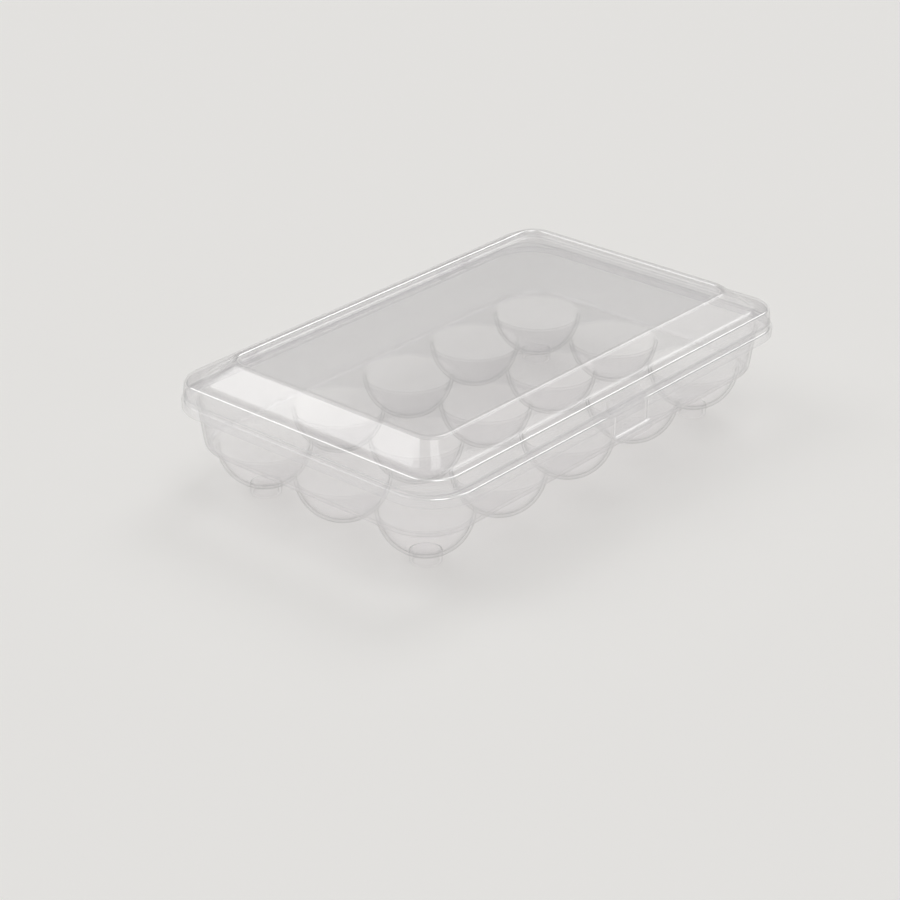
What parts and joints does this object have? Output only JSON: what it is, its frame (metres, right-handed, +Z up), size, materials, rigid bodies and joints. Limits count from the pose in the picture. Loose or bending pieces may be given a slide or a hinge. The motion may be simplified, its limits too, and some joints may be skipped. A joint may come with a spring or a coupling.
{
  "type": "egg holder tray",
  "caption": "Clear rectangular egg tray with round cups, small corner feet and a shallow hinged lid with a recessed stacking top and a front latch tab.",
  "frame": {"origin": "on the table, at the bottom centre of the closed tray, midway between the four feet", "axes": "+X along the tray's long side, -Y towards the latch side, +Y towards the hinges, +Z up"},
  "size_m": [0.2454, 0.167, 0.0629],
  "materials": {
    "tray_plastic": "clear, moulded gloss",
    "lid_plastic": "clear, moulded gloss"
  },
  "bodies": {
    "tray": {"cup_front_1": "tray_plastic", "cup_front_2": "tray_plastic", "cup_front_3": "tray_plastic", "cup_front_4": "tray_plastic", "cup_front_5": "tray_plastic", "cup_middle_1": "tray_plastic", "cup_middle_2": "tray_plastic", "cup_middle_3": "tray_plastic", "cup_middle_4": "tray_plastic", "cup_middle_5": "tray_plastic", "cup_back_1": "tray_plastic", "cup_back_2": "tray_plastic", "cup_back_3": "tray_plastic", "cup_back_4": "tray_plastic", "cup_back_5": "tray_plastic", "tray_wall": "tray_plastic", "tray_rim": "tray_plastic", "foot_front_left": "tray_plastic", "foot_front_right": "tray_plastic", "foot_back_left": "tray_plastic", "foot_back_right": "tray_plastic", "hinge_lugs_left": "tray_plastic", "hinge_lugs_right": "tray_plastic"},
    "lid": {"lid_skirt": "lid_plastic", "lid_slope": "lid_plastic", "lid_panel": "lid_plastic", "hinge_arm_left": "lid_plastic", "hinge_arm_right": "lid_plastic", "latch_bracket": "lid_plastic"},
    "latch": {"latch_tab": "lid_plastic"}
  },
  "joints": [
    {"name": "lid_hinge", "type": "hinge", "parent": "tray", "child": "lid", "pos_m": [0, 0.08135, 0.0443], "axis": [-1, 0, 0], "range_deg": [0, 110]},
    {"name": "latch_flex", "type": "hinge", "parent": "lid", "child": "latch", "pos_m": [0, -0.08005, 0.04665], "axis": [-1, 0, 0], "range_deg": [0, 8], "stiffness_Nm_per_rad": 0.15}
  ]
}
